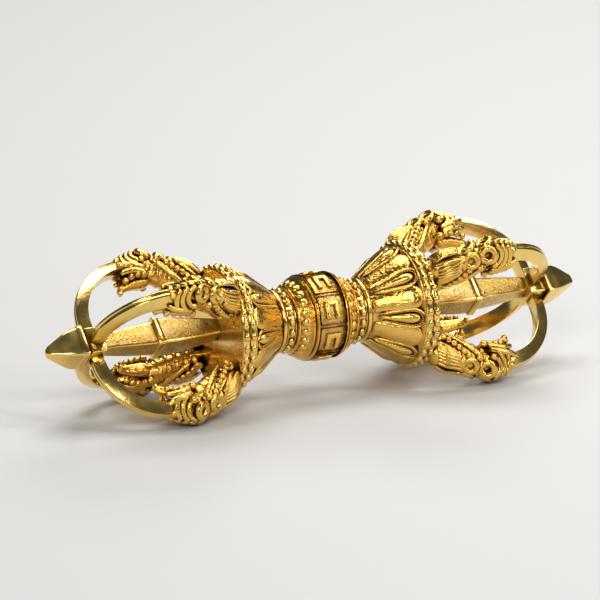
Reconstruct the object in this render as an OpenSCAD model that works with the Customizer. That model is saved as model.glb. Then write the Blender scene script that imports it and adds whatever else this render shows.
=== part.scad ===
// Five-pronged vajra: two like ends of lotus, makara heads and prongs on a panelled hub.
// Millimetres. The long axis lies along X, Z is up and the origin is the middle of the hub.

/* [Hub] */
// Length of the hub along the axis
hub_len = 10.4; // [9:0.1:13]
// Radius of the hub under its raised panels
hub_r = 6.1; // [5.5:0.05:7]
// Radius of the hub where it meets the bead rings
hub_end_r = 4.8; // [4:0.05:5.4]
// Number of panels round the hub
panel_count = 8; // [6:1:10]
// Side of one square panel
panel_side = 4.3; // [3:0.1:4.6]
// Height of the panel relief above the hub
panel_rise = 0.45; // [0.2:0.05:0.8]
// Width of the raised border line at each side of the panels
border_w = 0.5; // [0.3:0.05:0.7]

/* [Neck] */
// Number of pearls in a neck ring
neck_bead_count = 18; // [14:1:20]
// Radius of a neck pearl
neck_bead_r = 0.75; // [0.5:0.05:0.8]
// Radius of the circle that the neck pearls lie on
neck_ring_r = 4.5; // [4:0.05:5]
// Width of the ring that carries the neck pearls
neck_ring_w = 1.7; // [1.4:0.05:2.2]
// Radius of the plain neck collar
neck_collar_r = 4.9; // [4.2:0.05:5.5]
// Width of the plain neck collar
neck_collar_w = 0.7; // [0.5:0.05:1.2]

/* [Lotus] */
// Length of the lotus cup along the axis
cup_len = 7.0; // [6:0.1:8]
// Radius of the cup where it meets the neck
cup_foot_r = 4.5; // [4:0.05:5]
// How far the mouth of the cup lies inside the circle of the rim pearls
cup_inset = 0.5; // [0.2:0.05:0.8]
// Number of petals, with a sepal between each pair
petal_count = 8; // [6:1:10]
// Width of a petal
petal_w = 3.7; // [2.8:0.1:4]
// Width of a sepal
sepal_w = 1.5; // [1:0.1:1.8]
// Length of a petal
petal_len = 7.6; // [6:0.1:8]
// Height of a petal above the cup
petal_rise = 0.5; // [0.3:0.05:0.7]
// Height of a sepal above the cup
sepal_rise = 0.75; // [0.4:0.05:0.9]

/* [Rim] */
// Thickness of the base plate that closes the cup
plate_t = 2.1; // [2:0.05:2.6]
// Radius of the circle that the rim pearls lie on
rim_ring_r = 9.3; // [8.9:0.05:9.8]
// Number of pearls in a rim row
rim_bead_count = 32; // [24:1:36]
// Radius of a rim pearl
rim_bead_r = 0.55; // [0.4:0.05:0.55]
// Spacing between the two rim rows
rim_row_gap = 1.15; // [1.12:0.01:1.2]

/* [Prongs] */
// Outer radius of a side prong's arc
arc_r = 10.4; // [9.5:0.1:11.5]
// Distance of the arc's centre from the long axis
arc_off = 3.2; // [2.8:0.05:3.8]
// Distance of the arc's centre from the base plate
arc_rise = 11.3; // [10.5:0.1:12.5]
// Thickness of a prong, outward
prong_t = 1.8; // [1.4:0.05:2.2]
// Width of a prong at its inner face
prong_w = 3.2; // [2.6:0.1:3.8]
// Width of the narrow outer face of a prong
prong_land = 1.0; // [0.6:0.05:1.4]
// Width of a prong where it meets the tip collar
prong_tip_w = 1.7; // [1.2:0.05:2]
// Depth of the pocket that a prong's foot enters in the collar
pocket_depth = 0.6; // [0.4:0.05:0.8]

/* [Makara] */
// Distance of a head's seat from the long axis
seat_r = 7.3; // [6.9:0.05:7.5]
// Radius of the nape of a head
neck_r = 1.9; // [1.6:0.05:2.1]
// Radius of the cheeks of a head
cheek_r = 2.2; // [2:0.05:2.4]
// Radius of the muzzle of a head
muzzle_r = 1.6; // [1.4:0.05:1.8]
// How far the lip tips stand out beyond the prong
lip_reach = 1.2; // [1:0.1:1.6]
// Radius of the round scroll behind the lip
scroll_r = 1.35; // [1.1:0.05:1.5]
// Radius of the stud that holds a head on the base plate
stud_r = 0.7; // [0.5:0.05:0.9]
// Height of that stud
stud_h = 2.0; // [1.2:0.1:2.5]

/* [Spire] */
// Half width of the spire's foot, flat to flat
spire_foot_h = 1.3; // [1.2:0.05:1.6]
// Half width of the spire's bud at its widest
spire_bud_h = 2.2; // [2:0.05:2.3]
// Half width of the raised band
spire_band_h = 2.4; // [2.35:0.05:2.8]
// Length of the raised band
spire_band_w = 1.2; // [0.8:0.1:1.6]
// Distance of the band's middle from the base plate
spire_band_z = 10.9; // [9.5:0.1:12]
// Half width of the spire just above the band
spire_waist_h = 1.95; // [1.7:0.05:2.2]
// Half width of the spire at the collar
spire_top_h = 1.4; // [1.3:0.05:1.65]
// Radius of the tenon on the spire's end
tenon_r = 0.8; // [0.6:0.05:0.9]

/* [Tip] */
// Half width of the collar block
collar_h = 2.15; // [2.1:0.05:2.4]
// Length of the collar block
collar_len = 2.5; // [2.3:0.05:3]
// Half width of the groove between collar and flange
groove_h = 1.7; // [1.4:0.05:1.9]
// Length of that groove
groove_len = 0.5; // [0.3:0.05:0.8]
// Half width of the flange
flange_h = 2.6; // [2.4:0.05:2.9]
// Thickness of the flange
flange_t = 0.9; // [0.6:0.05:1.2]
// Half width of the point at the flange
point_h = 2.35; // [2:0.05:2.4]
// Length of the point beyond the flange
point_len = 5.0; // [4:0.1:6]
// Radius of the blunt end of the point
point_nose_r = 0.9; // [0.5:0.05:1]

/* [Fits] */
// Radius of the core rod
core_r = 0.8; // [0.6:0.05:0.85]
// Length of rod inside each spire
core_grip = 4.5; // [3:0.1:6]
// Clearance round rods, studs and tenons
fit_gap = 0.04; // [0.02:0.01:0.08]

/* [Hidden] */
$fn = 72;
soft_fn = 12;
gold = [0.86, 0.65, 0.24];
pale_gold = [0.93, 0.76, 0.38];
deep_gold = [0.74, 0.52, 0.17];
ends = [-1, 1];
end_names = ["left", "right"];
corner_names = ["top_front", "top_back", "low_front", "low_back"];
corner_angles = [225, 135, 315, 45];
rim_rows = ["inner", "outer"];

// The collar stands this far past the prong feet
collar_margin = 0.2;

// Stations along the axis, counted from the middle of the hub
z_hub = hub_len / 2;
z_neck = z_hub + neck_ring_w;
z_cup = z_neck + neck_collar_w;
z_plate = z_cup + cup_len;
z_floor = z_plate + plate_t;
z_arc = z_floor + arc_rise;
z_prong = z_arc + arc_r;
z_collar = z_prong + collar_margin - collar_len;
z_groove = z_collar + collar_len;
z_flange = z_groove + groove_len;
z_point = z_flange + flange_t;
z_end = z_point + point_len;

// The cup is a cone that opens from the neck to the rim
cup_mouth_r = rim_ring_r - cup_inset;
cup_tilt = atan((cup_mouth_r - cup_foot_r) / cup_len);
// Puts the seam of the cup's wall between a petal and a sepal
seam_turn = 90 / petal_count;

// The prong runs from inside the head round to the collar
root_turn = -42;
mouth_turn = -18;
scroll_turn = -19;
curl_turn = -31;
prong_mid = arc_r - prong_t / 2;

function end_name(side) = end_names[side < 0 ? 0 : 1];
function node_name(kind, side, place = "") = str(kind, "_", end_name(side), place == "" ? "" : "_", place);
function on_arc(turn, q, y = 0) = [arc_off + q * cos(turn), y, z_arc + q * sin(turn)];

turned_kinds = ["neck_pearls", "neck_collar", "lotus_cup", "base_plate", "spire", "tip_collar", "tip_point"];

// Turns a piece that is built along Z to lie along X, at one end of the vajra
module at_end(side) {
    rotate([0, 0, side < 0 ? 180 : 0]) rotate([0, 90, 0]) children();
}

// Turns a piece that is built above the X axis to one of the four corners of an end
module at_corner(side, corner) {
    at_end(side) rotate([0, 0, side * corner_angles[corner]]) children();
}

// The hole that the core rod passes through
module rod_hole(z0, z1) {
    translate([0, 0, z0 - 1]) cylinder(r = core_r + fit_gap, h = z1 - z0 + 2);
}

module core_rod() {
    grip = z_floor + core_grip;
    color(deep_gold) at_end(1) translate([0, 0, -grip]) cylinder(r = core_r, h = 2 * grip);
}

// One panel: a frame with a square spiral inside, drawn on a grid of nine cells
module fret(side, width) {
    cells = 9;
    cell_z = side / cells;
    cell_y = width / cells;
    difference() {
        square([side, width], center = true);
        square([side - 2 * cell_z, width - 2 * cell_y], center = true);
    }
    // Corners of the spiral, counted in cells from one corner of the panel
    corners = [[2, 2], [7, 2], [7, 7], [2, 7], [2, 4], [5, 4],
               [5, 5], [3, 5], [3, 6], [6, 6], [6, 3], [2, 3]];
    polygon([for (c = corners) [(c[0] - cells / 2) * cell_z, (c[1] - cells / 2) * cell_y]]);
}

module hub_bead() {
    mid = panel_side / 2;
    edge = mid + border_w;
    width = min(panel_side, 2 * hub_r * tan(180 / panel_count) * 0.94);
    slit = 0.1;
    sunk = 0.5;
    color(gold) at_end(1) difference() {
        union() {
            rotate_extrude() polygon([[0, -z_hub], [hub_end_r, -z_hub], [hub_r, -edge], [hub_r, edge],
                [hub_end_r, z_hub], [0, z_hub]]);
            for (z = [-edge, mid + slit]) translate([0, 0, z])
                cylinder(r = hub_r + panel_rise, h = border_w - slit);
            for (i = [0 : panel_count - 1]) rotate([0, 0, (i + 0.5) * 360 / panel_count]) intersection() {
                rotate([0, 0, 180]) cylinder(r = hub_r + panel_rise, h = panel_side + 1, center = true);
                translate([hub_r - sunk, 0, 0]) rotate([0, 90, 0])
                    linear_extrude(sunk + 2 * panel_rise) fret(panel_side, width);
            }
        }
        rod_hole(-z_hub, z_hub);
    }
}

module neck_pearls(side) {
    color(pale_gold) at_end(side) difference() {
        union() {
            translate([0, 0, z_hub]) cylinder(r = neck_ring_r - 0.1, h = neck_ring_w);
            for (i = [0 : neck_bead_count - 1]) rotate([0, 0, i * 360 / neck_bead_count])
                translate([neck_ring_r, 0, z_hub + neck_ring_w / 2]) sphere(r = neck_bead_r);
        }
        rod_hole(z_hub, z_neck);
    }
}

module neck_collar(side) {
    round_r = neck_collar_w / 2;
    color(gold) at_end(side) difference() {
        rotate_extrude() translate([0, z_neck]) {
            square([neck_collar_r - round_r, neck_collar_w]);
            translate([neck_collar_r - round_r, round_r]) circle(r = round_r);
        }
        rod_hole(z_neck, z_cup);
    }
}

// A leaf outline with two pointed ends, from two arcs
module leaf(length, width) {
    bow = (length ^ 2 / width + width) / 4;
    intersection() {
        translate([0, bow - width / 2]) circle(r = bow);
        translate([0, width / 2 - bow]) circle(r = bow);
    }
}

// The cup's wall, moved outward by a rise
module cup_wall(rise) {
    out = rise / cos(cup_tilt);
    translate([0, 0, z_cup]) cylinder(r1 = cup_foot_r + out, r2 = cup_mouth_r + out, h = cup_len);
}

// Raised leaves that lie on the wall of the cup
module cup_leaves(shift, length, width, rise) {
    sunk = 1.2;
    for (i = [0 : petal_count - 1]) rotate([0, 0, (i + shift) * 360 / petal_count]) intersection() {
        rotate([0, 0, 180]) cup_wall(rise);
        translate([(cup_foot_r + cup_mouth_r) / 2, 0, z_cup + cup_len / 2]) rotate([0, 90 + cup_tilt, 0])
            translate([0, 0, -sunk]) linear_extrude(sunk + 2 * rise) leaf(length, width);
    }
}

module lotus_cup(side) {
    color(gold) at_end(side) difference() {
        union() {
            rotate([0, 0, seam_turn]) cup_wall(0);
            cup_leaves(0.5, petal_len, petal_w, petal_rise);
            cup_leaves(0, petal_len, sepal_w, sepal_rise);
        }
        rod_hole(z_cup, z_plate);
    }
}

// The outer row lies flush with the floor of the plate, the inner one behind it
function row_z(row) = z_floor - rim_bead_r - (row == "inner" ? rim_row_gap : 0);

module base_plate(side) {
    color(pale_gold) at_end(side) difference() {
        union() {
            rotate_extrude() difference() {
                translate([0, z_plate]) square([rim_ring_r - 0.1, plate_t]);
                for (row = rim_rows) translate([rim_ring_r, row_z(row)]) circle(r = rim_bead_r + fit_gap);
            }
            for (angle = corner_angles) rotate([0, 0, angle])
                translate([seat_r, 0, z_plate + plate_t / 2]) cylinder(r = stud_r, h = stud_h + plate_t / 2);
        }
        rod_hole(z_plate, z_floor);
    }
}

module rim_pearls(side, row) {
    wire_r = rim_bead_r * 0.6;
    color(pale_gold) at_end(side) translate([0, 0, row_z(row)]) {
        rotate_extrude() translate([rim_ring_r, 0]) circle(r = wire_r);
        for (i = [0 : rim_bead_count - 1]) rotate([0, 0, (i + 0.5) * 360 / rim_bead_count])
            translate([rim_ring_r, 0, 0]) sphere(r = rim_bead_r);
    }
}

// Section of a prong, seen along its arc: a narrow outer face and a wide inner one
module prong_section(gap) {
    polygon([[arc_r - prong_t - gap, -prong_w / 2 - gap], [arc_r - prong_t - gap, prong_w / 2 + gap],
        [arc_r + gap, prong_land / 2 + gap], [arc_r + gap, -prong_land / 2 - gap]]);
}

module prong_sweep(from_turn, to_turn, gap) {
    translate([arc_off, 0, z_arc]) rotate([90, -from_turn, 0])
        rotate_extrude(angle = to_turn - from_turn) prong_section(gap);
}

module prong(side, corner) {
    inner = z_prong - prong_t;
    wide = prong_w / 2 + 0.2;
    slim = prong_tip_w / 2;
    foot = arc_off - collar_h + pocket_depth;
    lap = 0.4;
    color(gold) at_corner(side, corner) {
        intersection() {
            prong_sweep(root_turn, 90, 0);
            rotate([0, -90, 0]) translate([0, 0, -2 * arc_r]) linear_extrude(4 * arc_r)
                polygon([[z_arc - arc_r, -wide], [z_arc + 1, -wide], [inner, -slim], [z_prong + 1, -slim],
                    [z_prong + 1, slim], [inner, slim], [z_arc + 1, wide], [z_arc - arc_r, wide]]);
        }
        translate([arc_off + lap, 0, z_arc]) rotate([0, -90, 0]) linear_extrude(foot + lap) intersection() {
            prong_section(-fit_gap);
            translate([0, fit_gap - slim]) square([2 * arc_r, prong_tip_w - 2 * fit_gap]);
        }
    }
}

// One rounded limb of a head between two balls
module limb(a, a_r, b, b_r) {
    hull() {
        translate(a) sphere(r = a_r, $fn = soft_fn);
        translate(b) sphere(r = b_r, $fn = soft_fn);
    }
}

// A thick block of flesh between an inner and an outer pair of balls
module block(low_in, low_out, low_r, high_in, high_out, high_r) {
    hull() {
        for (p = [low_in, low_out]) translate(p) sphere(r = low_r, $fn = soft_fn);
        for (p = [high_in, high_out]) translate(p) sphere(r = high_r, $fn = soft_fn);
    }
}

module makara_flesh() {
    nape_in = [seat_r + 0.3, 0, z_floor + 0.6];
    nape_out = [seat_r + 2.5, 0, z_floor + 1.6];
    brow_in = on_arc(-47, prong_mid - 1.1);
    brow_out = on_arc(-38, prong_mid + 1.3);
    muzzle_in = on_arc(-20, prong_mid - 1.3);
    muzzle_out = on_arc(-13, prong_mid + 0.7);
    jaw = on_arc(1, arc_r - prong_t - 2.4);
    jaw_tip = on_arc(20, arc_r - prong_t - 3);
    block(nape_in, nape_out, neck_r, brow_in, brow_out, cheek_r);
    block(brow_in, brow_out, cheek_r, muzzle_in, muzzle_out, muzzle_r);
    // Lower jaw, on the side of the spire, with its tip turned in
    limb(muzzle_in, muzzle_r, jaw, 0.8);
    limb(jaw, 0.8, jaw_tip, 0.5);
    for (y = [-1, 1]) {
        corner = on_arc(-4, arc_r + 0.2, y * 1.6);
        lip_tip = on_arc(3, arc_r + lip_reach, y * 1.2);
        // Lip that runs beside the prong and hooks outward
        limb(on_arc(mouth_turn, prong_mid, y * 1.6), 1, corner, 0.75);
        limb(corner, 0.75, lip_tip, 0.45);
        // Round scroll behind the lip
        limb(on_arc(scroll_turn, arc_r + 0.7, y), scroll_r,
            on_arc(scroll_turn, arc_r + 0.8, y * 2), scroll_r * 0.6);
        // Curl behind the scroll
        limb(on_arc(curl_turn, arc_r + 1.1, y), 1.1, on_arc(curl_turn, arc_r + 1.4, y * 1.9), 0.6);
        // Mane leaf that sweeps back over the rim
        limb(on_arc(-41, arc_r + 1.4, y * 1.3), 1, [seat_r + 4.2, y * 1.7, z_floor + 1.4], 0.8);
    }
}

module makara(side, corner) {
    color(deep_gold) at_corner(side, corner) difference() {
        makara_flesh();
        prong_sweep(root_turn - 1, 40, fit_gap);
        translate([seat_r, 0, z_floor - 1]) cylinder(r = stud_r + fit_gap, h = stud_h + 1 + fit_gap);
        translate([0, 0, z_floor - 10]) cylinder(r = 3 * seat_r, h = 10);
    }
}

// A square bar whose half width follows an outline, with its edges toward top, front, bottom and back
module square_bar(reach) {
    rotate([0, 0, 45]) intersection() {
        rotate([90, 0, 0]) linear_extrude(reach * 2, center = true) children();
        rotate([90, 0, 90]) linear_extrude(reach * 2, center = true) children();
    }
}

// Half widths of the spire from foot to collar
module spire_outline() {
    band = z_floor + spire_band_z;
    band_low = band - spire_band_w / 2;
    band_top = band + spire_band_w / 2;
    swell = spire_bud_h - spire_foot_h;
    bow = ((band_low - z_floor) ^ 2 + swell ^ 2) / (2 * swell);
    intersection() {
        translate([spire_bud_h - bow, band_low]) circle(r = bow, $fn = 180);
        translate([bow - spire_bud_h, band_low]) circle(r = bow, $fn = 180);
        translate([-spire_bud_h, z_floor]) square([2 * spire_bud_h, band_low - z_floor]);
    }
    translate([-spire_band_h, band_low]) square([2 * spire_band_h, spire_band_w]);
    polygon([[-spire_waist_h, band_top], [spire_waist_h, band_top],
        [spire_top_h, z_collar], [-spire_top_h, z_collar]]);
}

module spire(side) {
    tenon = z_point + 1;
    color(gold) at_end(side) difference() {
        union() {
            square_bar(spire_band_h) spire_outline();
            translate([0, 0, z_collar - 0.5]) cylinder(r = tenon_r, h = tenon - z_collar + 0.5);
        }
        translate([0, 0, z_floor - 1]) cylinder(r = core_r + fit_gap, h = core_grip + 1 + fit_gap);
    }
}

module tip_collar(side) {
    pocket_w = prong_tip_w + 2 * fit_gap;
    pocket_len = prong_t + 2 * fit_gap;
    color(pale_gold) at_end(side) difference() {
        rotate([0, 0, 45]) {
            translate([-collar_h, -collar_h, z_collar]) cube([2 * collar_h, 2 * collar_h, collar_len]);
            translate([-groove_h, -groove_h, z_groove]) cube([2 * groove_h, 2 * groove_h, groove_len]);
        }
        for (angle = corner_angles) rotate([0, 0, angle])
            translate([collar_h - pocket_depth - fit_gap, -pocket_w / 2, z_prong - prong_t - fit_gap])
                cube([pocket_depth + 1, pocket_w, pocket_len]);
        translate([0, 0, z_collar - 1]) cylinder(r = tenon_r + fit_gap, h = collar_len + groove_len + 2);
    }
}

// Half widths of the point, with straight sides and a round nose
module point_outline() {
    nose = z_end - point_nose_r;
    polygon([[-point_h, z_point], [point_h, z_point], [point_nose_r * 0.9, nose + point_nose_r * 0.35],
        [-point_nose_r * 0.9, nose + point_nose_r * 0.35]]);
    translate([0, nose]) circle(r = point_nose_r);
}

module tip_point(side) {
    color(pale_gold) at_end(side) difference() {
        union() {
            rotate([0, 0, 45]) translate([-flange_h, -flange_h, z_flange])
                cube([2 * flange_h, 2 * flange_h, flange_t]);
            square_bar(point_h) point_outline();
        }
        translate([0, 0, z_flange - 1])
            cylinder(r = tenon_r + fit_gap, h = z_point - z_flange + 2 + fit_gap);
    }
}

core_rod();
hub_bead();
for (side = ends) {
    neck_pearls(side);
    neck_collar(side);
    lotus_cup(side);
    base_plate(side);
    spire(side);
    tip_collar(side);
    tip_point(side);
    for (row = rim_rows)
        rim_pearls(side, row);
    for (corner = [0 : 3]) {
        makara(side, corner);
        prong(side, corner);
    }
}
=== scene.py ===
from math import atan2, cos, pi, radians, sin, sqrt

import bmesh
import bpy
from mathutils import Matrix, Vector


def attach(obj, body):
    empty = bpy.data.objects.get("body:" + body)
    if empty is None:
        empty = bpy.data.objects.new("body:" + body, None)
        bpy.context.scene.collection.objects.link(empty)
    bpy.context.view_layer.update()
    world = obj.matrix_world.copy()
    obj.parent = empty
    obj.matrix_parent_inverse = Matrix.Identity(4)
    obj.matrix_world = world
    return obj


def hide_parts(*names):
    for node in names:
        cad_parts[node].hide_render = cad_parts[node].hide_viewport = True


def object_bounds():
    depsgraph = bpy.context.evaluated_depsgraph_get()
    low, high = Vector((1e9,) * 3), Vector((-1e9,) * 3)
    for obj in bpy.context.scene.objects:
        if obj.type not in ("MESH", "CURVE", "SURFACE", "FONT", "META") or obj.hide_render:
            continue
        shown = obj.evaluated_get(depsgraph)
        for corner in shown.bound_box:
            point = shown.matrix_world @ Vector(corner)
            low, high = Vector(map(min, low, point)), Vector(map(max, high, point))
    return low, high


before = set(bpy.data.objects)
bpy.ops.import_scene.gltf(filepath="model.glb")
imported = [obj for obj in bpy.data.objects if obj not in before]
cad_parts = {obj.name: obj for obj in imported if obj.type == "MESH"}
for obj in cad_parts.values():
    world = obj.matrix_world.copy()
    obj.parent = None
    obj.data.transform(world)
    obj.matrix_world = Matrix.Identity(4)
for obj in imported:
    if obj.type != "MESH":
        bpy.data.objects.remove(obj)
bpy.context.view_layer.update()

# Core rod
# The plain brass rod on which hub, neck rings, cups and plates are threaded. It is turned from bar and
# out of sight once the vajra is put together, so the CAD solid stays and only gets its finish.
# BROWN is the painted shade and patina colour in recesses
ROD_BRASS, BROWN = (0.78, 0.52, 0.22), (0.11, 0.034, 0.004)


def metal_with_painted_shade(name, skin, shade_and_patina, gloss, grain, depth, hollow, specks=0.0):
    """Gilt or bare brass: a bright skin, with painted shade and patina in recesses narrower than about
    `hollow` metres.

    The grain is a noise of scale `grain`, `depth` metres deep, and its pits darken the skin by `specks`.
    """
    finish = bpy.data.materials.new(name)
    finish.use_nodes = True
    nodes, links = finish.node_tree.nodes, finish.node_tree.links
    metal = nodes["Principled BSDF"]
    metal.inputs["Metallic"].default_value = 1.0
    metal.inputs["Coat Weight"].default_value = 0.3
    metal.inputs["Coat Roughness"].default_value = 0.12
    place = nodes.new("ShaderNodeTexCoord")

    def noise(scale, detail):
        pattern = nodes.new("ShaderNodeTexNoise")
        pattern.inputs["Scale"].default_value = scale
        pattern.inputs["Detail"].default_value = detail
        links.new(place.outputs["Object"], pattern.inputs["Vector"])
        return pattern.outputs["Fac"]

    def spread(source, low, high, start, end):
        band = nodes.new("ShaderNodeMapRange")
        band.inputs["From Min"].default_value = start
        band.inputs["From Max"].default_value = end
        band.inputs["To Min"].default_value = low
        band.inputs["To Max"].default_value = high
        links.new(source, band.inputs["Value"])
        return band.outputs["Result"]

    def both(one, other):
        product = nodes.new("ShaderNodeMath")
        product.operation = "MULTIPLY"
        links.new(one, product.inputs[0])
        links.new(other, product.inputs[1])
        return product.outputs[0]

    # Painted shade and patina: ambient occlusion darkens the skin towards the recess colour in hollows
    crevice_shade = nodes.new("ShaderNodeAmbientOcclusion")
    crevice_shade.samples = 12
    crevice_shade.inputs["Distance"].default_value = hollow
    clouds = noise(420, 3)
    pits = noise(grain, 4)
    # How much bright skin shows: less under the painted shade, with a random tone and the pits of the grain
    shade_tone_and_specks = both(spread(crevice_shade.outputs["AO"], 0.0, 1.0, 0.22, 0.78), spread(clouds, 0.86, 1.06, 0.3, 0.7))
    shade_tone_and_specks = both(shade_tone_and_specks, spread(pits, 1.0 - specks, 1.0, 0.4, 0.55))
    tint = nodes.new("ShaderNodeMix")
    tint.data_type = "RGBA"
    tint.inputs[6].default_value = (*shade_and_patina, 1)
    tint.inputs[7].default_value = (*skin, 1)
    links.new(shade_tone_and_specks, tint.inputs["Factor"])
    links.new(tint.outputs[2], metal.inputs["Base Color"])
    links.new(spread(clouds, gloss * 0.8, gloss * 1.3, 0.3, 0.7), metal.inputs["Roughness"])
    bump = nodes.new("ShaderNodeBump")
    bump.inputs["Strength"].default_value = 1.0
    bump.inputs["Distance"].default_value = depth
    links.new(pits, bump.inputs["Height"])
    links.new(bump.outputs["Normal"], metal.inputs["Normal"])
    return finish


def refinish(node, finish):
    """Gives a CAD solid that keeps its own shape a new finish."""
    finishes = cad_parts[node].data.materials
    finishes.clear()
    finishes.append(finish)


rod_brass = metal_with_painted_shade("rod_brass", ROD_BRASS, BROWN, gloss=0.3, grain=1500, depth=0.00001, hollow=0.001)
refinish("core_rod", rod_brass)

# Hub
# The grip: a turned brass barrel on the rod, chased with eight panels, each a frame round one square bow,
# between double raised lines, and with a ring of small leaves on each flank. Gilt, with painted shade and
# patina in the recesses.
HUB_R, HUB_END_R, HUB_HALF, FLANK_START, BORE_R = 6.1, 4.8, 5.2, 2.65, 0.85
PANEL, PANELS, RELIEF, CROWN, GROUND_HALF = 4.3, 8, 0.5, 0.2, 2.1
FRAME_WIDTH, BAR_ROOT, BAR_SOFT, BAR_CUT = 0.4, 0.3, 0.17, 0.4
LEAVES, LEAF_STATION, LEAF_HALVES = 22, 4.03, (0.34, 0.66, 0.74)
GOLD = (0.95, 0.59, 0.12)
# The second colour of each finish is the painted shade and patina in its recesses
hub_gilt = metal_with_painted_shade("hub_gilt", GOLD, (0.3, 0.14, 0.025), gloss=0.2, grain=2400, depth=0.00009,
                        hollow=0.0012, specks=0.12)
matted_shaded_ground = metal_with_painted_shade("matted_shaded_ground", (0.88, 0.53, 0.12), (0.22, 0.09, 0.014), gloss=0.24,
                             grain=3600, depth=0.00013, hollow=0.0011, specks=0.4)


def along_axis(side):
    """From millimetres along a piece's own Z to metres along X, at the left (-1) or right (1) end."""
    return (Matrix.Rotation(pi if side < 0 else 0, 4, "Z") @ Matrix.Rotation(pi / 2, 4, "Y")
            @ Matrix.Scale(0.001, 4))


def set_in_place(shape, name, spot, finish, node, crease=40):
    """Bakes a shape into its spot, shades it and hands it to the frame in the stead of a CAD node."""
    bmesh.ops.recalc_face_normals(shape, faces=shape.faces)
    mesh = bpy.data.meshes.new(name)
    shape.to_mesh(mesh)
    mesh.transform(spot)
    mesh.shade_smooth()
    mesh.set_sharp_from_angle(angle=radians(crease))
    mesh.materials.append(finish)
    piece = bpy.data.objects.new(name, mesh)
    bpy.context.scene.collection.objects.link(piece)
    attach(piece, "root")
    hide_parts(node)
    return piece


def turn(shape, outline, steps=96):
    """Turns a closed outline of (radius, station) points about the axis, as on a lathe."""
    points = [shape.verts.new((r, 0, z)) for r, z in outline]
    edges = [shape.edges.new(pair) for pair in zip(points, points[1:] + points[:1])]
    bmesh.ops.spin(shape, geom=points + edges, axis=(0, 0, 1), angle=2 * pi, steps=steps, use_merge=True)


def bead_line(r, z, width, rise, steps=6):
    """Outline points of one raised half-round line."""
    return [(r + rise * sin(pi * k / steps), z - width / 2 + width * k / steps) for k in range(steps + 1)]


def lump(shape, radius, spot, halves=(1, 1, 1), around=12, rings=8):
    """A round lump of the casting, drawn out or pressed flat along its three ways, then set in its spot."""
    ball = bmesh.ops.create_uvsphere(shape, u_segments=around, v_segments=rings, radius=radius)["verts"]
    bmesh.ops.scale(shape, verts=ball, vec=halves)
    bmesh.ops.transform(shape, verts=ball, matrix=spot)


def crowned(z):
    """Radius of the barrel under its panels, a little fuller in the middle."""
    return HUB_R + CROWN * (1 - (z / (PANEL / 2)) ** 2)


flank_slope = (HUB_R - HUB_END_R) / (HUB_HALF - FLANK_START)


def on_flank(z):
    """Radius of the barrel beside its panels."""
    return HUB_R - flank_slope * (z - FLANK_START)


hub = bmesh.new()
right_half = [(crowned(z), z) for z in (0, 0.5, 1.0, 1.5, 1.9, GROUND_HALF)]
right_half += bead_line(HUB_R, 2.42, 0.62, 0.5)
for z, width, rise in ((3.06, 0.58, 0.42), (4.92, 0.46, 0.22)):
    right_half += bead_line(on_flank(z), z, width, rise)
left_half = [(r, -z) for r, z in reversed(right_half[1:])]
turn(hub, [(BORE_R, -HUB_HALF)] + left_half + right_half + [(BORE_R, HUB_HALF)])


def raised_bars(outline, frame_width=None):
    """Bars of the fret, drawn flat as one outline or as a frame inside it, lifted and softened on top."""
    bars = bmesh.new()
    face = bars.faces.new([bars.verts.new((x, y, -BAR_ROOT)) for x, y in outline])
    if frame_width:
        bmesh.ops.inset_region(bars, faces=[face], thickness=frame_width, use_boundary=True,
                               use_even_offset=True)
        middle = min(bars.faces, key=lambda f: f.calc_center_median().xy.length)
        bmesh.ops.delete(bars, geom=[middle], context="FACES_ONLY")
    lifted = bmesh.ops.extrude_face_region(bars, geom=bars.faces[:])["geom"]
    tops = [g for g in lifted if isinstance(g, bmesh.types.BMVert)]
    bmesh.ops.translate(bars, verts=tops, vec=(0, 0, BAR_ROOT + RELIEF))
    bars.normal_update()
    rims = [e for e in bars.edges if all(v in tops for v in e.verts) and len(e.link_faces) == 2
            and e.calc_face_angle(0) > 0.5]
    bmesh.ops.bevel(bars, geom=rims, offset=BAR_SOFT, segments=3, profile=0.5, affect="EDGES", material=-1)
    # Cuts across, so that the bars can follow the round of the barrel
    for k in range(-5, 6):
        bmesh.ops.bisect_plane(bars, geom=bars.verts[:] + bars.edges[:] + bars.faces[:], dist=1e-5,
                               plane_co=(k * BAR_CUT + 0.05, 0, 0), plane_no=(1, 0, 0))
    return bars


half, cell = PANEL / 2, PANEL / 7
bow = [(1.45, 1.6), (5.6, 1.6), (5.6, 2.8), (2.5, 2.8), (2.5, 4.2), (5.6, 4.2), (5.6, 5.4), (1.45, 5.4)]
fret_frame = raised_bars([(-half, -half), (half, -half), (half, half), (-half, half)], FRAME_WIDTH)
fret_bow = raised_bars([(x * cell - half, y * cell - half) for x, y in bow])
for flat in (fret_frame, fret_bow):
    for v in flat.verts:
        bend, r = v.co.x / HUB_R, crowned(v.co.y) + v.co.z
        v.co = (r * cos(bend), r * sin(bend), v.co.y)
    strip = bpy.data.meshes.new("fret")
    flat.to_mesh(strip)
    for k in range(PANELS):
        strip.transform(Matrix.Rotation(pi / PANELS if k == 0 else 2 * pi / PANELS, 4, "Z"))
        hub.from_mesh(strip)
    bpy.data.meshes.remove(strip)
for way in (-1, 1):
    seat = (Matrix.Translation((on_flank(LEAF_STATION), 0, way * LEAF_STATION))
            @ Matrix.Rotation(-way * atan2(flank_slope, 1), 4, "Y"))
    for k in range(LEAVES):
        lump(hub, 1.0, Matrix.Rotation(k * 2 * pi / LEAVES, 4, "Z") @ seat, LEAF_HALVES)
barrel = set_in_place(hub, "hub_chased", along_axis(1), hub_gilt, "hub_bead")
# The ground under the fret is matted, and painted darker as shade in the recess between the bars
barrel.data.materials.append(matted_shaded_ground)
for face in barrel.data.polygons:
    off_axis = Vector((0, face.center.y, face.center.z)).length * 1000
    if abs(face.center.x) * 1000 < GROUND_HALF and off_axis < HUB_R + CROWN + 0.01:
        face.material_index = 1

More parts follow.
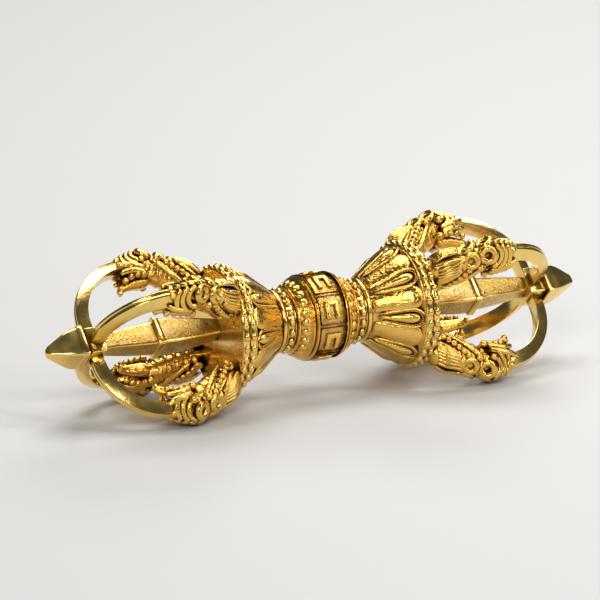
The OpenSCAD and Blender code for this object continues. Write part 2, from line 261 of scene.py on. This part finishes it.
# Neck rings
# On each side of the hub a ring of pearls between two wires, and a plain turned collar, part it from the
# lotus. Both are cast in brass, threaded on the rod, gilt and burnished.
ENDS = ((-1, "left"), (1, "right"))
NECK_R, NECK_END, NECK_PEARLS, NECK_PEARL_R = 4.4, 6.9, 18, 0.62
# WARM and BROWN are the painted shade and patina in the recesses of the pearls and burnished parts
PALE, WARM = (0.98, 0.68, 0.19), (0.28, 0.12, 0.02)
bead_gilt = metal_with_painted_shade("bead_gilt", PALE, WARM, gloss=0.15, grain=1800, depth=0.00003, hollow=0.0009)
smooth_gilt = metal_with_painted_shade("burnished_gilt", PALE, BROWN, gloss=0.2, grain=1500, depth=0.00003,
                           hollow=0.0013)
for side, end in ENDS:
    row = bmesh.new()
    wires = bead_line(NECK_R, HUB_HALF + 0.22, 0.4, 0.3) + bead_line(NECK_R, NECK_END - 0.22, 0.4, 0.3)
    turn(row, [(BORE_R, HUB_HALF), (NECK_R, HUB_HALF)] + wires + [(NECK_R, NECK_END), (BORE_R, NECK_END)])
    seat = Matrix.Translation((NECK_R + 0.1, 0, (HUB_HALF + NECK_END) / 2))
    for k in range(NECK_PEARLS):
        spot = Matrix.Rotation(k * 2 * pi / NECK_PEARLS, 4, "Z") @ seat
        lump(row, NECK_PEARL_R, spot, (1.0, 1.08, 0.72), around=14, rings=10)
    set_in_place(row, f"neck_row_{end}", along_axis(side), bead_gilt, f"neck_pearls_{end}")
    refinish(f"neck_collar_{end}", smooth_gilt)

# Lotus cups
# A brass bowl beyond each neck, chased as a lotus: eight broad plain petals, and between each pair a slim
# sepal inside a raised line and a row of punched grains. Gilt, with painted shade and patina in the recesses.
CUP_FOOT, CUP_MOUTH, CUP_PETALS = (4.5, 7.6), (8.8, 14.6), 8
FLARE = atan2(CUP_MOUTH[0] - CUP_FOOT[0], CUP_MOUTH[1] - CUP_FOOT[1])
TURN_IN = 0.76
chased_gilt = metal_with_painted_shade("chased_gilt", GOLD, BROWN, gloss=0.2, grain=2400, depth=0.00011, hollow=0.0015,
                           specks=0.1)


def on_cup(across, up, height, turned):
    """A point on the bowl: distance across, distance up from the foot, height, and the petal's angle."""
    r = CUP_FOOT[0] + up * sin(FLARE)
    spin = turned + across / r
    r += height * cos(FLARE)
    return Vector((r * cos(spin), r * sin(spin), CUP_FOOT[1] + up * cos(FLARE) - height * sin(FLARE)))


def roll(shape, around, along, place):
    """Rolls a grid into a closed skin; place(u, v) puts each point, u round it and v along it."""
    sheet = bmesh.ops.create_grid(shape, x_segments=around, y_segments=along, size=0.5)["verts"]
    for v in sheet:
        v.co = place(v.co.x + 0.5, v.co.y + 0.5)
    bmesh.ops.remove_doubles(shape, verts=sheet, dist=0.0005)


def petal_half(up, foot_w, wide, low, high):
    """Half width of a petal that widens from its foot and closes in a round end."""
    t = (up - low) / (high - low)
    body = foot_w + (wide - foot_w) * min(t / TURN_IN, 1) ** 0.9
    round_end = sqrt(max(0.0, 1 - max(0.0, (t - TURN_IN) / (1 - TURN_IN)) ** 2))
    return body * round_end * sqrt(min(1.0, t / 0.04))


def petal(shape, turned, foot_w, wide, low, high, rise, crown):
    """A petal that swells towards its round end; a lower crown makes its cross-section fuller."""
    def place(u, v):
        t = 0.5 - 0.5 * cos(pi * v)
        up = low + (high - low) * t
        ends = min(1, t / 0.08) * (1 - max(0, (t - 0.7) / 0.3) ** 2)
        swell = (0.5 + 0.5 * min(t / 0.7, 1)) * sqrt(max(0, ends))
        a = 2 * pi * u
        lift = sin(a)
        height = rise * swell * abs(lift) ** crown if lift > 0 else -0.35 * abs(lift)
        return on_cup(petal_half(up, foot_w, wide, low, high) * cos(a), up, height, turned)
    roll(shape, 28, 26, place)


def petal_edge(way, foot_w, wide, low, high):
    """Across and up on a petal's edge: -1 at the foot, 0 at the round end, 1 at the foot again."""
    up = low + (high - low) * min(0.9999, sin(pi / 2 * max(0.0, 1 - abs(way)) ** 0.8))
    return petal_half(up, foot_w, wide, low, high) * (1 if way > 0 else -1), up


def petal_line(shape, turned, foot_w, wide, low, high, thick, lift):
    """A raised line that follows a petal's edge from the foot, round its end, and back."""
    def place(u, v):
        way = 2 * v - 1
        across, up = petal_edge(way, foot_w, wide, low, high)
        a = 2 * pi * u
        slim = thick * min(1.0, (1 - abs(way)) * 12)
        return on_cup(across + slim * cos(a), up, lift + slim * sin(a), turned)
    roll(shape, 8, 64, place)


def petal_grains(shape, turned, foot_w, wide, low, high, size, lift):
    """A row of punched grains that follows a petal's edge."""
    last = None
    for k in range(1, 400):
        here = on_cup(*petal_edge(k / 200 - 1, foot_w, wide, low, high), lift, turned)
        if last is None or (here - last).length > 2.1 * size:
            lump(shape, size, Matrix.Translation(here), around=8, rings=6)
            last = here


for side, end in ENDS:
    cup = bmesh.new()
    lip = [(8.45, 14.02), (8.85, 14.1), (9.1, 14.28), (9.1, 14.44)]
    turn(cup, [(BORE_R, CUP_FOOT[1]), CUP_FOOT] + lip + [CUP_MOUTH, (BORE_R, CUP_MOUTH[1])])
    for k in range(CUP_PETALS):
        broad = (k + 0.5) * 2 * pi / CUP_PETALS
        petal(cup, broad, foot_w=1.15, wide=1.95, low=0.1, high=8.1, rise=0.75, crown=0.62)
        sepal = broad + pi / CUP_PETALS
        petal_line(cup, sepal, foot_w=0.36, wide=1.38, low=0.5, high=8.05, thick=0.2, lift=0.42)
        petal_grains(cup, sepal, foot_w=0.3, wide=1.1, low=1.4, high=7.75, size=0.17, lift=0.34)
        petal(cup, sepal, foot_w=0.15, wide=0.82, low=0.8, high=7.45, rise=0.95, crown=0.75)
    set_in_place(cup, f"lotus_chased_{end}", along_axis(side), chased_gilt,
                 f"lotus_cup_{end}", 50)

# Rims
# Each cup is closed by a round brass plate on the rod, on which the spire and the four heads stand. Two
# wires of oblong pearls run round its edge, gilt and burnished.
RIM_R, RIM_PEARLS, RIM_PEARL_R, ROW_STATIONS = 9.3, 32, 0.55, {"inner": 15.0, "outer": 16.15}
for side, end in ENDS:
    refinish(f"base_plate_{end}", smooth_gilt)
    for row, station in ROW_STATIONS.items():
        pearls = bmesh.new()
        turn(pearls, [(RIM_R - 0.15 + 0.3 * cos(k * pi / 6), station + RIM_PEARL_R * sin(k * pi / 6))
                      for k in range(12)])
        seat = Matrix.Translation((RIM_R, 0, station))
        for k in range(RIM_PEARLS):
            spot = Matrix.Rotation((k + 0.5) * 2 * pi / RIM_PEARLS, 4, "Z") @ seat
            lump(pearls, RIM_PEARL_R, spot, (1.0, 1.32, 0.92), around=14, rings=10)
        set_in_place(pearls, f"rim_row_{end}_{row}", along_axis(side), bead_gilt,
                     f"rim_pearls_{end}_{row}")

# Makara heads
# Four cast beast heads stand on studs on each plate and hold the prongs in their mouths. Each is chased
# with a combed mane, a chain of balls between straps, scrolls, hoods round the muzzle, lips and teeth.
CORNERS = {"top_front": 225, "top_back": 135, "low_front": 315, "low_back": 45}


def at_corner(side, angle):
    """The spot of one of the four heads or prongs round an end."""
    return along_axis(side) @ Matrix.Rotation(radians(side * angle), 4, "Z")


def smooth_way(points, share):
    """A point at a share of the smooth way through points, which may have any number of values each."""
    place = min(max(share, 0.0), 1.0) * (len(points) - 1)
    i = min(int(place), len(points) - 2)
    t = place - i
    near = [points[min(max(k, 0), len(points) - 1)] for k in range(i - 1, i + 3)]
    return [0.5 * (2 * b + (c - a) * t + (2 * a - 5 * b + 4 * c - d) * t * t
                   + (3 * b - a - 3 * c + d) * t ** 3) for a, b, c, d in zip(*near)]


def strand(shape, points, sides=10, steps=26, flat=1.0):
    """A tapered round strand through (out, across, station, thickness) points, rounded at both ends."""
    length = sum((Vector(b[:3]) - Vector(a[:3])).length for a, b in zip(points, points[1:]))

    def place(u, v):
        t = 0.5 - 0.5 * cos(pi * v)
        here = smooth_way(points, t)
        ahead, behind = smooth_way(points, t + 0.01), smooth_way(points, t - 0.01)
        way = (Vector(ahead[:3]) - Vector(behind[:3])).normalized()
        across = Vector((0, 1, 0)) - way * way.y
        across.normalize()
        out = across.cross(way)
        near_end = min(t, 1 - t) * length / max(here[3], 0.05)
        thick = here[3] * sqrt(max(0.0, 1 - max(0.0, 1 - near_end) ** 2))
        a = 2 * pi * u
        return Vector(here[:3]) + across * (thick * flat * cos(a)) + out * (thick * sin(a))
    roll(shape, sides, steps, place)


def knob(shape, out, across, station, size):
    """A round lump at a place on the head."""
    lump(shape, size, Matrix.Translation((out, across, station)))


def scroll(shape, out, across, station, size, thick, lean=0.0, turned=0.0):
    """A round scroll with an open heart that faces sideways, leans outward and is turned to the hub."""
    hand = 1 if across > 0 else -1
    side = Vector((sin(lean), hand * cos(lean), 0))
    slope = Vector((cos(lean), -hand * sin(lean), 0))
    facing = side * cos(turned) - Vector((0, 0, sin(turned)))
    ahead = side * sin(turned) + Vector((0, 0, cos(turned)))
    heart = Vector((out, across, station))

    def place(u, v):
        a, b = 2 * pi * u, 2 * pi * v
        r = size + thick * cos(a)
        return heart + slope * (r * cos(b)) + ahead * (r * sin(b)) + facing * (thick * sin(a))
    roll(shape, 12, 30, place)


head = bmesh.new()
# Neck, skull and muzzle
strand(head, [(8.5, 0, 16.2, 2.2), (9.2, 0, 18.4, 2.4), (10.3, 0, 21.0, 2.5), (11.4, 0, 23.4, 2.3),
              (12.3, 0, 25.6, 1.9), (12.8, 0, 27.0, 1.5)], 20, 26, 0.85)
# Snout over the prong
strand(head, [(12.0, 0, 21.0, 0.8), (12.9, 0, 22.9, 0.9), (13.3, 0, 24.7, 0.85), (13.2, 0, 26.5, 0.75),
              (13.25, 0, 28.0, 0.55), (13.2, 0, 29.3, 0.4)], 12, 28)
# Lower jaw with its tip turned in towards the spire
strand(head, [(9.6, 0, 24.6, 1.0), (9.5, 0, 26.8, 0.85), (9.1, 0, 28.6, 0.65), (8.5, 0, 29.7, 0.48),
              (7.8, 0, 29.6, 0.34)], 12, 26, 1.3)
# Ribs across the throat
for k in range(6):
    inner, station = 6.75 + 0.4 * k + 0.05 * k * k, 18.1 + 1.25 * k
    strand(head, [(inner + 1.2, -1.9, station - 0.3, 0.34), (inner + 0.3, -1.2, station, 0.42),
                  (inner, 0, station + 0.1, 0.46), (inner + 0.3, 1.2, station, 0.42),
                  (inner + 1.2, 1.9, station - 0.3, 0.34)], 8, 22)
# Folds across the brow
for station, outer, thick in ((23.2, 13.6, 0.4), (20.4, 12.6, 0.55)):
    strand(head, [(outer - drop, y, station + 0.1 * y * y, thick * full) for y, drop, full in (
        (-1.8, 1.4, 0.65), (-1.25, 0.45, 1.05), (-0.5, 0.0, 0.95), (0.5, 0.0, 0.95), (1.25, 0.45, 1.05),
        (1.8, 1.4, 0.65))], 10, 32)
for hand in (-1, 1):
    # A chain of balls on the cheek between two straps
    for low_r, low, high_r, high, thick in ((6.9, 19.2, 12.5, 23.9, 0.44), (8.0, 17.0, 11.7, 20.2, 0.4)):
        strand(head, [(low_r, hand * 1.5, low, thick * 0.8),
                      (low_r * 0.68 + high_r * 0.32, hand * 2.0, low * 0.62 + high * 0.38, thick),
                      (low_r * 0.3 + high_r * 0.7, hand * 2.15, low * 0.27 + high * 0.73, thick),
                      (high_r, hand * 1.95, high, thick * 0.85)], 10, 30)
    for k in range(7):
        t = (k + 0.5) / 7
        knob(head, 6.7 + 5.0 * t, hand * (1.75 + 0.5 * sin(pi * t)), 17.6 + 4.3 * t, 0.5 + 0.1 * t)
    # Scrolls on the shoulders of the snout, turned back towards the hub, and lumps beside them
    scroll(head, 13.75, hand * 1.08, 24.3, 1.0, 0.54, pi / 4, radians(30))
    scroll(head, 12.75, hand * 1.12, 21.7, 0.95, 0.5, pi / 4, radians(30))
    knob(head, 12.2, hand * 2.25, 23.1, 0.6)
    knob(head, 12.4, hand * 2.1, 25.5, 0.6)
    # Three hoods that bow round the upper scroll towards the prong, and the nostrils
    for k, (wide, first, last) in enumerate(((2.1, 25, 150), (2.95, 45, 140), (3.8, 58, 128))):
        hood = []
        for step, thick in enumerate((0.34, 0.44, 0.48, 0.47, 0.44, 0.38)):
            a = radians(first + (last - first) * step / 5)
            hood.append((13.5 - 0.32 * k + 0.75 * wide * cos(a), hand * (1.22 - 0.5 * wide * cos(a)),
                         24.4 + wide * sin(a), thick))
        strand(head, hood, 10, 32)
    knob(head, 13.35, hand * 0.62, 28.75, 0.56)
    # Teeth along the jaw
    for k in range(4):
        knob(head, 10.35 - 0.12 * k - 0.06 * k * k, hand * (1.45 - 0.12 * k), 26.6 + 0.75 * k, 0.34)
    # Upper and lower lip beside the prong
    strand(head, [(11.0, hand * 2.1, 25.4, 0.42), (11.55, hand * 2.2, 26.9, 0.5),
                  (11.85, hand * 2.0, 28.4, 0.5), (12.3, hand * 1.6, 29.5, 0.36)], 12, 28)
    strand(head, [(10.2, hand * 2.0, 25.4, 0.46), (10.7, hand * 2.1, 26.8, 0.5),
                  (10.8, hand * 1.95, 28.2, 0.46), (10.6, hand * 1.7, 29.3, 0.36)], 12, 26)
    # Lumps along the gum
    for k in range(5):
        t = k / 4
        knob(head, 9.75 + 0.45 * sin(pi * t) - 0.2 * t, hand * (1.9 + 0.1 * sin(pi * t) - 0.5 * t * t),
             24.8 + 4.0 * t, 0.62 - 0.14 * t)
    # Curl at the foot
    scroll(head, 7.3, hand * 1.9, 17.8, 0.55, 0.36)
    # Combed mane along the back of the neck, each lock ending in a lump
    for k in range(7):
        start_r, reach = 8.7 + 0.4 * k, 10.9 + 0.3 * k
        beside = 2.3 - 0.08 * k - 0.035 * k * k
        strand(head, [(start_r, hand * (beside - 0.1), 16.9, 0.26),
                      ((start_r + reach) / 2 + 0.15, hand * (beside + 0.12), 18.1, 0.33),
                      (reach, hand * beside, 19.5 + 0.1 * k, 0.26)], 8, 20)
        knob(head, reach + 0.05, hand * (beside - 0.05), 19.6 + 0.1 * k, 0.36)
bmesh.ops.recalc_face_normals(head, faces=head.faces)
rough_cast = bpy.data.meshes.new("head_shape")
head.to_mesh(rough_cast)
for side, end in ENDS:
    for corner, angle in CORNERS.items():
        casting = bmesh.new()
        casting.from_mesh(rough_cast)
        set_in_place(casting, f"head_{end}_{corner}", at_corner(side, angle), chased_gilt,
                     f"makara_{end}_{corner}", 60)
bpy.data.meshes.remove(rough_cast)

# Side prongs
# Four brass bars at each end, forged to a roof-like section with a grooved narrow land outside, bent to
# an arc from the beast's mouth to the tip collar, where each foot is let in. Gilt and burnished.
ARC_OFF, ARC_STATION, ARC_R, ARC_INNER_R = 3.2, 28.0, 10.4, 8.6
MOUTH_ANGLE, ARC_SWEEP, FOOT = radians(-40), radians(130), 1.6
SLIM_START, SLIM_LENGTH, SLIM_SHARE = 29.0, 7.6, 0.25
PRONG_SECTION = [(ARC_INNER_R, -1.6), (ARC_INNER_R, 1.6), (ARC_R, 0.55), (ARC_R, 0.2), (ARC_R - 0.16, 0.0),
                 (ARC_R, -0.2), (ARC_R, -0.55)]
for side, end in ENDS:
    for corner, angle in CORNERS.items():
        bar = bmesh.new()
        points = [bar.verts.new((ARC_OFF + q * cos(MOUTH_ANGLE), y, ARC_STATION + q * sin(MOUTH_ANGLE)))
                  for q, y in PRONG_SECTION]
        edges = [bar.edges.new(pair) for pair in zip(points, points[1:] + points[:1])]
        last = bmesh.ops.spin(bar, geom=points + edges, cent=(ARC_OFF, 0, ARC_STATION), axis=(0, -1, 0),
                              angle=ARC_SWEEP, steps=52)["geom_last"]
        # The broad inner side grows slimmer towards the tip
        for v in bar.verts:
            q = sqrt((v.co.x - ARC_OFF) ** 2 + (v.co.z - ARC_STATION) ** 2)
            slimmer = SLIM_SHARE * max(0.0, (v.co.z - SLIM_START) / SLIM_LENGTH)
            v.co.y *= 1 - slimmer * min(1.0, (ARC_R - q) / (ARC_R - ARC_INNER_R))
        rim = [g for g in last if isinstance(g, bmesh.types.BMEdge)]
        foot = bmesh.ops.extrude_edge_only(bar, edges=rim)["geom"]
        foot_points = [g for g in foot if isinstance(g, bmesh.types.BMVert)]
        bmesh.ops.translate(bar, verts=foot_points, vec=(-FOOT, 0, 0))
        bmesh.ops.holes_fill(bar, edges=bar.edges[:], sides=0)
        bmesh.ops.recalc_face_normals(bar, faces=bar.faces)
        ridges = [e for e in bar.edges if e.calc_face_angle(0) > 0.6]
        bmesh.ops.bevel(bar, geom=ridges, offset=0.1, segments=3, profile=0.5, affect="EDGES", material=-1)
        set_in_place(bar, f"prong_bar_{end}_{corner}", at_corner(side, angle), smooth_gilt,
                     f"prong_{end}_{corner}", 35)

# Spires
# The middle prong of each end: a square brass bar, edges up, front, down and back, that swells from a slim
# foot to a bud, has a raised band, then tapers into the collar. Gilt as cast, worn bright on the edges.
BUD_FOOT, BUD_TOP, BUD_STEPS = 16.7, 26.4, 14
BAND_TOP, TAPER_START, SPIRE_END, TAPER_STEPS = 27.6, 27.7, 36.1, 8
# Its dark second colour is the painted shade and patina in recesses, and also the colour of the grain's pits
grained_gilt = metal_with_painted_shade("grained_gilt", (0.93, 0.62, 0.16), (0.26, 0.14, 0.02), gloss=0.26, grain=4200,
                            depth=0.00013, hollow=0.0016, specks=0.6)


def square_bar(shape, outline, soft):
    """A square bar through (half width, station) points, its long edges softened by a share of its width."""
    def place(u, v):
        h, z = outline[round(v * (len(outline) - 1))]
        edge, step = divmod(round(u * 24) % 24, 6)
        turned = edge * pi / 2
        ease = h * soft
        a = turned + (step - 2.5) / 2.5 * pi / 4
        middle = (h - ease) * sqrt(2)
        return Vector((middle * cos(turned) + ease * cos(a), middle * sin(turned) + ease * sin(a), z))
    roll(shape, 24, len(outline) - 1, place)


bud = [(1.3 + 0.88 * sin(pi / 2 * k / BUD_STEPS) ** 1.15, BUD_FOOT + (BUD_TOP - BUD_FOOT) * k / BUD_STEPS)
       for k in range(BUD_STEPS + 1)]
band = [(2.2, BUD_TOP), (2.38, 26.5), (2.46, 26.65), (2.46, 27.4), (2.38, 27.55), (1.94, BAND_TOP)]
taper = [(1.92 - 0.72 * (k / TAPER_STEPS) ** 1.3, TAPER_START + (SPIRE_END - TAPER_START) * k / TAPER_STEPS)
         for k in range(TAPER_STEPS + 1)]
spire_line = [(0.0, BUD_FOOT)] + bud + band + taper + [(0.0, SPIRE_END)]
for side, end in ENDS:
    bar = bmesh.new()
    square_bar(bar, spire_line, 0.24)
    spire = set_in_place(bar, f"spire_bar_{end}", along_axis(side), grained_gilt,
                         f"spire_{end}", 30)
    # The band and the worn long edges are bright
    spire.data.materials.append(smooth_gilt)
    for face in spire.data.polygons:
        along = abs(face.center.x) * 1000
        off_flat = abs(abs(face.normal.y) - abs(face.normal.z))
        face.material_index = 1 if BUD_TOP < along < BAND_TOP or off_flat > 0.12 else 0

# Tip collars and points
# A square brass collar takes the feet of the four prongs and the spire's end; beyond a groove a flange and
# a blunt four-sided point close the vajra. Filed square, gilt and burnished.
FLANGE_START, TIP_END = 39.1, 45.0
collar_line = [(0.0, SPIRE_END), (2.05, SPIRE_END), (2.15, 36.2), (2.15, 38.48), (2.08, 38.58), (1.7, 38.6),
               (1.7, FLANGE_START), (0.0, FLANGE_START)]
point_line = [(0.0, FLANGE_START), (2.5, FLANGE_START), (2.6, 39.2), (2.6, 39.85), (2.52, 39.97),
              (2.4, 40.0), (2.35, 40.15), (2.27, 40.8), (2.1, 41.5), (1.84, 42.2), (1.5, 42.95), (1.2, 43.55),
              (0.95, 44.05), (0.8, 44.4), (0.62, 44.7), (0.4, 44.88), (0.2, 44.97), (0.0, TIP_END)]
for side, end in ENDS:
    block = bmesh.new()
    square_bar(block, collar_line, 0.08)
    set_in_place(block, f"collar_block_{end}", along_axis(side), smooth_gilt,
                 f"tip_collar_{end}", 35)
    tip = bmesh.new()
    square_bar(tip, point_line, 0.2)
    set_in_place(tip, f"point_block_{end}", along_axis(side), smooth_gilt,
                 f"tip_point_{end}", 35)

# Studio
# A pale matt table on which the lower heads rest, five soft lamps round it, and the camera at the
# photograph's viewing angle. The table isn't part of the vajra.
TABLE_HALF, PAPER, AIR = 3.0, (0.64, 0.63, 0.61), (0.07, 0.07, 0.073)
bpy.context.view_layer.update()
dressed_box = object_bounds()
table = bmesh.new()
bmesh.ops.create_grid(table, x_segments=4, y_segments=4, size=TABLE_HALF)
bmesh.ops.translate(table, verts=table.verts, vec=(0, 0, dressed_box[0][2]))
table_mesh = bpy.data.meshes.new("table_top")
table.to_mesh(table_mesh)
table_top = bpy.data.objects.new("table_top", table_mesh)
bpy.context.scene.collection.objects.link(table_top)
paper = bpy.data.materials.new("pale_paper")
paper.use_nodes = True
paper.node_tree.nodes["Principled BSDF"].inputs["Base Color"].default_value = (*PAPER, 1)
paper.node_tree.nodes["Principled BSDF"].inputs["Roughness"].default_value = 0.6
table_mesh.materials.append(paper)

world = bpy.data.worlds.new("studio_air")
world.use_nodes = True
world.node_tree.nodes["Background"].inputs["Color"].default_value = (*AIR, 1)
bpy.context.scene.world = world


def soft_lamp(name, spot, width, height, watts):
    """A soft box lamp that points at the middle of the vajra."""
    lamp = bpy.data.lights.new(name, "AREA")
    lamp.shape = "RECTANGLE"
    lamp.size, lamp.size_y, lamp.energy = width, height, watts
    stand = bpy.data.objects.new(name, lamp)
    stand.location = spot
    stand.rotation_euler = (-Vector(spot)).to_track_quat("-Z", "Y").to_euler()
    bpy.context.scene.collection.objects.link(stand)


soft_lamp("lamp_over", (0.06, 0.18, 0.53), 0.42, 0.3, 2.3)
soft_lamp("lamp_left", (-0.44, -0.58, 0.42), 0.24, 0.26, 2.4)
soft_lamp("lamp_right", (0.34, -0.52, 0.34), 0.1, 0.5, 1.0)
soft_lamp("lamp_front", (0.27, -0.20, 0.48), 0.1, 0.28, 0.9)
soft_lamp("lamp_back", (0.36, 0.44, 0.30), 0.3, 0.2, 1.0)

# Pixels of the picture's side, pixels a metre, and pixels by which the vajra's middle lies off the centre
PICTURE, SCALE, OFF_RIGHT, OFF_DOWN = 600, 6620.0, 14, 16
AZIMUTH, ELEVATION, DISTANCE = radians(-27.8), radians(15), 0.950
back = Vector((sin(AZIMUTH) * cos(ELEVATION), -cos(AZIMUTH) * cos(ELEVATION), sin(ELEVATION)))
rightward = Vector((cos(AZIMUTH), sin(AZIMUTH), 0))
upward = back.cross(rightward)
view = bpy.data.cameras.new("photo_view")
view.lens = SCALE * DISTANCE * view.sensor_width / PICTURE
eye = bpy.data.objects.new("photo_view", view)
aim = rightward * (-OFF_RIGHT / SCALE) + upward * (OFF_DOWN / SCALE)
facing = Matrix((rightward, upward, back)).transposed().to_4x4()
eye.matrix_world = Matrix.Translation(aim + back * DISTANCE) @ facing
bpy.context.scene.collection.objects.link(eye)
bpy.context.scene.camera = eye
bpy.context.scene.view_settings.view_transform = "Standard"
